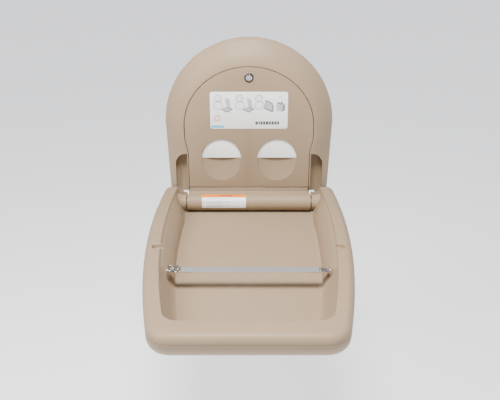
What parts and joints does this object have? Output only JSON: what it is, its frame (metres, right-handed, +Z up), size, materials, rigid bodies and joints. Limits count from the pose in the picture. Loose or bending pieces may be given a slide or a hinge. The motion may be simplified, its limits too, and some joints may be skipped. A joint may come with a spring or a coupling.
{
  "type": "changing table",
  "caption": "Wall-mounted vertical fold-down baby changing table, open, with a rounded plastic bed, safety strap, liner slots and a locked liner door.",
  "frame": {"origin": "wall plane at the height of the hinge axis, on the centre line, at the back face of the steel wall plate", "axes": "+X to the right seen from the room, -Y out of the wall into the room, +Z up"},
  "size_m": [0.565, 0.912, 0.573],
  "materials": {
    "polyethylene": "fine moulded texture",
    "nylon": "plain moulded",
    "liner_paper": "soft crepe",
    "label_film": "printed film",
    "webbing": "woven nylon",
    "rubber": "matte",
    "black_paint": "gloss enamel",
    "chrome": "polished plate",
    "zinc_steel": "zinc plated"
  },
  "bodies": {
    "root": {"bracket_bolt_left_lower": "zinc_steel", "bracket_bolt_left_upper": "zinc_steel", "bracket_bolt_right_lower": "zinc_steel", "bracket_bolt_right_upper": "zinc_steel", "door_pin_left": "zinc_steel", "door_pin_right": "zinc_steel", "gas_crank": "zinc_steel", "gas_crank_pin": "zinc_steel", "hinge_bracket_left": "zinc_steel", "hinge_bracket_right": "zinc_steel", "hinge_cover": "polyethylene", "hinge_shaft": "zinc_steel", "housing_screw_lower_left": "zinc_steel", "housing_screw_lower_right": "zinc_steel", "housing_screw_upper_left": "zinc_steel", "housing_screw_upper_right": "zinc_steel", "liner_stack_left": "liner_paper", "liner_stack_right": "liner_paper", "liner_tray_left": "nylon", "liner_tray_right": "nylon", "lock_keeper": "zinc_steel", "rear_housing": "polyethylene", "shaft_clip_left": "zinc_steel", "shaft_clip_right": "zinc_steel", "stop_bumper_left": "rubber", "stop_bumper_right": "rubber", "wall_plate": "zinc_steel", "warning_label": "label_film"},
    "bed": {"bed_top": "polyethylene", "bed_bottom": "polyethylene", "bed_rail": "zinc_steel", "bed_screw_rear_left": "zinc_steel", "bed_screw_rear_right": "zinc_steel", "bed_screw_front_left": "zinc_steel", "bed_screw_front_right": "zinc_steel", "bush_left": "nylon", "bush_right": "nylon", "gas_cylinder": "black_paint", "gas_cylinder_stud": "zinc_steel", "strap_anchor_left": "chrome", "strap_anchor_right": "chrome", "strap_pin": "zinc_steel"},
    "strap": {"buckle_frame": "chrome", "strap_webbing": "webbing", "strap_tongue": "chrome"},
    "buckle": {"buckle_lever": "chrome"},
    "gas_rod_body": {"gas_rod": "chrome"},
    "door": {"liner_door": "polyethylene", "instruction_label": "label_film", "lock_body": "chrome", "lock_nut": "zinc_steel"},
    "lock": {"lock_plug": "chrome", "lock_cam": "zinc_steel", "lock_cam_screw": "zinc_steel"}
  },
  "joints": [
    {"name": "bed_fold", "type": "hinge", "parent": "root", "child": "bed", "pos_m": [0, -0.08, 0], "axis": [-1, 0, 0], "range_deg": [0, 90]},
    {"name": "door_swing", "type": "hinge", "parent": "root", "child": "door", "pos_m": [0, -0.0475, 0.048], "axis": [-1, 0, 0], "range_deg": [-80, 0]},
    {"name": "lock_turn", "type": "hinge", "parent": "door", "child": "lock", "pos_m": [0, -0.056, 0.399], "axis": [0, -1, 0], "range_deg": [0, 90]},
    {"name": "gas_rod_slide", "type": "slide", "parent": "bed", "child": "gas_rod_body", "axis": [0, 1, 0], "range_m": [0, 0.03111]},
    {"name": "strap_swing", "type": "hinge", "parent": "bed", "child": "strap", "pos_m": [-0.1995, -0.582, 0.024], "axis": [0, 1, 0], "range_deg": [-60, 0]},
    {"name": "buckle_lever_swing", "type": "hinge", "parent": "strap", "child": "buckle", "pos_m": [-0.179, -0.582, 0.0295], "axis": [0, -1, 0], "range_deg": [-70, 0]}
  ],
  "couplings": [
    {"joint": "gas_rod_slide", "follows": "bed_fold", "m_per_rad": 0.019807}
  ]
}
